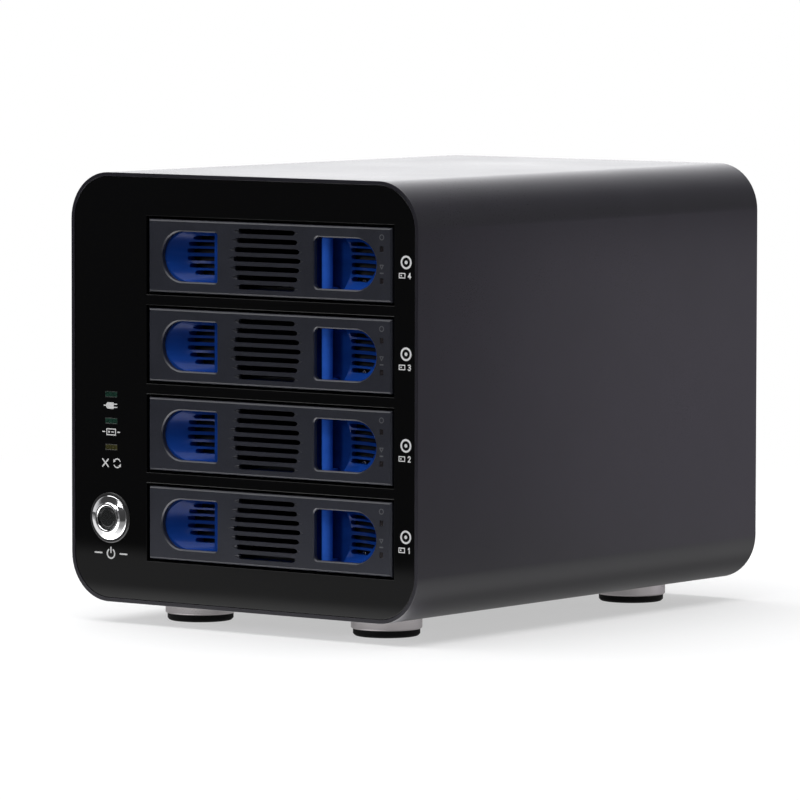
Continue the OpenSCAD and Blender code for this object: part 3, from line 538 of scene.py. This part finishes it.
def printed_marks():
    for n in range(1, 5):
        bz = bay_z(n)
        d = Drawing()
        # a plain disc with a hub, then a drive outline and the bay's number
        d.line(arc(79.25, bz + 15.5, 2.2, 0, 350, 35), 0.78, closed=True)
        d.dot(79.25, bz + 15.5, 0.72)
        d.line([(76.0, bz + 9.6), (78.7, bz + 9.6), (78.7, bz + 11.3), (76.0, bz + 11.3)], 0.38, closed=True)
        d.dot(76.9, bz + 10.45, 0.34)
        for line in DIGIT[n]:
            d.line([(80.2 + u * 2.1, bz + 9.45 + v * 2.0) for u, v in line], 0.45)
        d.make(f"bay_mark_{n}", PANEL_Y, "white_ink", "chassis")
        # tray marks: a ring for activity, a small triangle and a dash for fault
        d = Drawing()
        d.line(arc(67.8, bz + 24.6, 0.95, 0, 345, 23), 0.34, closed=True)
        d.line(triangle(67.8, bz + 13.6, 0.95, 270), 0.34, closed=True)
        d.line([(67.1, bz + 11.0), (68.5, bz + 11.0)], 0.5)
        d.make(f"tray_mark_{n}", COVER_Y, "grey_ink", f"tray_{n}")

    x = -65.1
    d = Drawing()        # a plug, for the first link lamp
    z = Z0 + 76.9
    d.fill([(x - 1.4, z - 1.25), (x + 1.3, z - 1.25), (x + 1.3, z + 1.25), (x - 1.4, z + 1.25)])
    d.dot(x - 1.4, z, 1.25)
    for k in (-0.62, 0.62):
        d.line([(x + 1.0, z + k), (x + 2.9, z + k)], 0.42)
    d.line([(x - 2.0, z), (x - 3.6, z)], 0.45)
    d.make("lamp_mark_plug", PANEL_Y, "white_ink", "chassis")

    d = Drawing()        # a drive outline between two ticks, for the second link lamp
    z = Z0 + 66.6
    d.line([(x - 2.2, z - 1.15), (x + 2.2, z - 1.15), (x + 2.2, z + 1.15), (x - 2.2, z + 1.15)], 0.42, closed=True)
    d.dot(x - 1.1, z, 0.45)
    d.line([(x + 0.2, z), (x + 1.3, z)], 0.42)
    d.line([(x - 4.3, z), (x - 3.3, z)], 0.45)
    d.line([(x + 3.3, z), (x + 4.3, z)], 0.45)
    d.make("lamp_mark_drive", PANEL_Y, "white_ink", "chassis")

    d = Drawing()        # a cross and a rebuild arrow, for the third lamp
    z = Z0 + 54.4
    for k in (-1, 1):
        d.line([(x - 2.9 - 1.45, z - k * 1.45), (x - 2.9 + 1.45, z + k * 1.45)], 0.58)
    for a in (30, 210):
        ring = arc(x + 3.0, z + 0.05, 1.7, a, a + 120, 14)
        d.line(ring, 0.46)
        ex, ez = ring[-1]
        d.fill(triangle(ex, ez, 0.8, a + 210))
    d.make("lamp_mark_fault", PANEL_Y, "white_ink", "chassis")

    d = Drawing()        # the usual open ring and upright stroke
    z = Z0 + 19.0
    d.line(arc(-65.3, z - 0.1, 1.85, 128, 412, 30), 0.62)
    d.line([(-65.3, z + 2.3), (-65.3, z + 0.3)], 0.62)
    for k in (-1, 1):
        d.line([(-65.3 + k * 4.6, z), (-65.3 + k * 8.0, z)], 0.62)
    d.make("power_mark", PANEL_Y, "white_ink", "chassis")

    # sector marks round the dial and a tick at the set button, on the rear panel
    d = Drawing()
    for i in range(8):
        a = math.radians(-90 + 45 * i)
        c, q = math.cos(a), math.sin(a)
        d.line([(-58 + 5.2 * c, 80.3 + 5.2 * q), (-58 + 6.3 * c, 80.3 + 6.3 * q)], 0.4)
    d.line([(-54.6, 66.3), (-53.0, 66.3)], 0.4)
    o = d.make("dial_marks", 112.5 + INK, "white_ink", "chassis")


printed_marks()


# ---------------------------------------------------------------- stage, light and camera

def softbox(name, loc, target, size, power, colour=(1, 1, 1), glossy=True, diffuse=True):
    l = bpy.data.lights.new(name, "AREA")
    l.shape = "RECTANGLE"
    l.size, l.size_y = size
    l.energy = power
    l.color = colour
    o = bpy.data.objects.new(name, l)
    scene.collection.objects.link(o)
    o.location = loc
    o.rotation_mode = "QUATERNION"
    o.rotation_quaternion = (Vector(target) - Vector(loc)).to_track_quat("-Z", "Y")
    o.visible_camera = False
    o.visible_glossy = glossy
    o.visible_diffuse = diffuse
    return o


def floor():
    """A large pale sheet that fades into the white backdrop. Reflections see its near part only."""
    bm = bmesh.new()
    bmesh.ops.create_circle(bm, cap_ends=True, segments=96, radius=5.0)
    me = bpy.data.meshes.new("floor")
    bm.to_mesh(me)
    bm.free()
    o = bpy.data.objects.new("floor", me)
    scene.collection.objects.link(o)
    m = Mat("floor_paper")
    grain = m.noise(240, 3.0)
    m.set(base=m.mix(m.map(grain, 0.3, 0.7, 0, 1), (0.84, 0.84, 0.845), (0.86, 0.86, 0.862)), rough=0.9, spec=0.1)
    x, y, z = m.sep()
    r = m.vmath("LENGTH", m.pos)
    path = m.n.new("ShaderNodeLightPath")

    def emission(level):
        e = m.n.new("ShaderNodeEmission")
        e.inputs["Strength"].default_value = 1.0
        if hasattr(level, "node"):
            m.link(level, e.inputs["Color"])
        else:
            e.inputs["Color"].default_value = (level, level, level, 1)
        return e.outputs[0]

    def blend(f, a, b):
        n = m.n.new("ShaderNodeMixShader")
        if hasattr(f, "node"):
            m.link(f, n.inputs[0])
        else:
            n.inputs[0].default_value = f
        m.link(a, n.inputs[1])
        m.link(b, n.inputs[2])
        return n.outputs[0]

    add = m.n.new("ShaderNodeAddShader")
    m.link(blend(0.45, m.bsdf.outputs[0], emission(0.0)), add.inputs[0])
    m.link(emission(0.50), add.inputs[1])
    seen = blend(m.map(r, 0.32, 0.75, 0, 1, smooth=True), add.outputs[0], emission(1.0))
    # what a glossy surface sees: a lit table near the front, then the dark of the room
    patch = m.math("MULTIPLY", m.map(y, -0.235, -0.185, 0.0, 0.62, smooth=True), m.map(y, -0.15, -0.125, 1.0, 0.0, smooth=True))
    # only what looks steeply down sees the bright strip along the foot of the front
    facing = m.n.new("ShaderNodeNewGeometry").outputs["Incoming"]
    steep = m.map(m.sep(facing)[2], 0.35, 0.65, 0.0, 4.0, smooth=True)
    strip = m.math("MULTIPLY", m.map(y, -0.19, -0.16, 0.0, 1.0, smooth=True), m.map(y, -0.105, -0.095, 1.0, 0.0))
    strip = m.math("MULTIPLY", strip, m.map(x, -0.17, -0.11, 0.0, 1.0, smooth=True))
    under = m.math("MULTIPLY", steep, strip)
    near = m.math("ADD", m.map(y, -0.37, -0.31, 0.05, 0.32, smooth=True), m.math("ADD", patch, under))
    near = m.math("ADD", near, m.math("MULTIPLY", m.map(x, 0.086, 0.10, 0.0, 0.35), m.map(x, 0.14, 0.20, 1.0, 0.0)))
    far = m.map(r, 0.24, 0.42, 0.0, 1.0, smooth=True)
    far = m.math("MULTIPLY", far, m.map(y, -0.2, 0.0, 0.0, 1.0, smooth=True))
    gloss = emission(m.mix(far, near, (0.13, 0.12, 0.155)))
    dim = m.n.new("ShaderNodeBsdfDiffuse")
    dim.inputs["Color"].default_value = (0.13, 0.13, 0.135, 1)
    bounced = blend(path.outputs["Is Glossy Ray"], dim.outputs[0], gloss)
    m.link(blend(path.outputs["Is Camera Ray"], bounced, seen), m.out.inputs["Surface"])
    me.materials.append(m.m)


def backdrop():
    """White to the camera; to the object a dark room with a bright wall behind it, to the left."""
    w = Mat("studio", world=True)
    scene.world = w.m
    d = w.vmath("NORMALIZE", w.pos)
    x, y, z = w.sep(d)
    wall = w.math("MULTIPLY", w.map(y, -0.05, 0.65, 0, 1, smooth=True), w.map(z, 0.80, 0.22, 0, 1, smooth=True))
    left = w.map(x, 0.30, -0.35, 0.18, 2.2, smooth=True)
    up = w.map(z, 0.45, 1.0, 0.0, 0.38, smooth=True)
    edge = w.map(x, -0.80, -0.95, 0.0, 0.75, smooth=True)
    right = w.map(x, 0.72, 0.97, 0.0, 0.30, smooth=True)
    level = w.math("ADD", w.math("MULTIPLY", wall, left), w.math("ADD", up, w.math("ADD", edge, right)))
    level = w.math("ADD", level, 0.055)
    bg = w.n["Background"]
    bg.inputs["Color"].default_value = (0.985, 0.985, 1.0, 1)
    w.link(level, bg.inputs["Strength"])
    white = w.n.new("ShaderNodeBackground")
    white.inputs["Color"].default_value = (1, 1, 1, 1)
    path = w.n.new("ShaderNodeLightPath")
    mix = w.n.new("ShaderNodeMixShader")
    w.link(path.outputs["Is Camera Ray"], mix.inputs[0])
    w.link(bg.outputs[0], mix.inputs[1])
    w.link(white.outputs[0], mix.inputs[2])
    w.link(mix.outputs[0], w.out.inputs["Surface"])


def stage():
    floor()
    backdrop()
    softbox("top_box", (-0.35, -0.15, 1.5), (-0.35, -0.15, 0), (2.4, 1.8), 36)
    softbox("front_box", (-0.28, -1.25, 0.48), (0, -0.1, 0.1), (0.36, 0.30), 1.9)
    softbox("side_card", (0.10, 0.30, 0.034), (0.10 - 0.6, 0.30 - 0.8, 0.034), (0.41, 0.226), 0.135,
            (0.93, 0.87, 1.0), diffuse=False)


def camera():
    yaw, pitch, roll = 0.6492149582370863, 0.07459122732887129, 0.0014838003060254562
    f = Vector((-math.sin(yaw) * math.cos(pitch), math.cos(yaw) * math.cos(pitch), -math.sin(pitch)))
    r = f.cross(Vector((0, 0, 1))).normalized()
    u = r.cross(f)
    c, s = math.cos(roll), math.sin(roll)
    r, u = c * r + s * u, -s * r + c * u
    cam = bpy.data.cameras.new("camera")
    cam.sensor_width = 36.0
    cam.sensor_fit = "AUTO"
    cam.lens = 6634.0932376193105 / 800 * 36.0
    cam.clip_start, cam.clip_end = 0.05, 60
    o = bpy.data.objects.new("camera", cam)
    scene.collection.objects.link(o)
    m = Matrix.Identity(4)
    for i, v in enumerate((r, u, -f)):
        m.col[i][:3] = v
    m.col[3][:3] = (1.585589, -1.988243 - 0.1135, 0.272180 + 0.0083)
    o.matrix_world = m
    scene.camera = o


stage()
camera()
scene.view_settings.view_transform = "Standard"
scene.view_settings.look = "None"
scene.view_settings.exposure = 0.0
scene.view_settings.gamma = 1.0
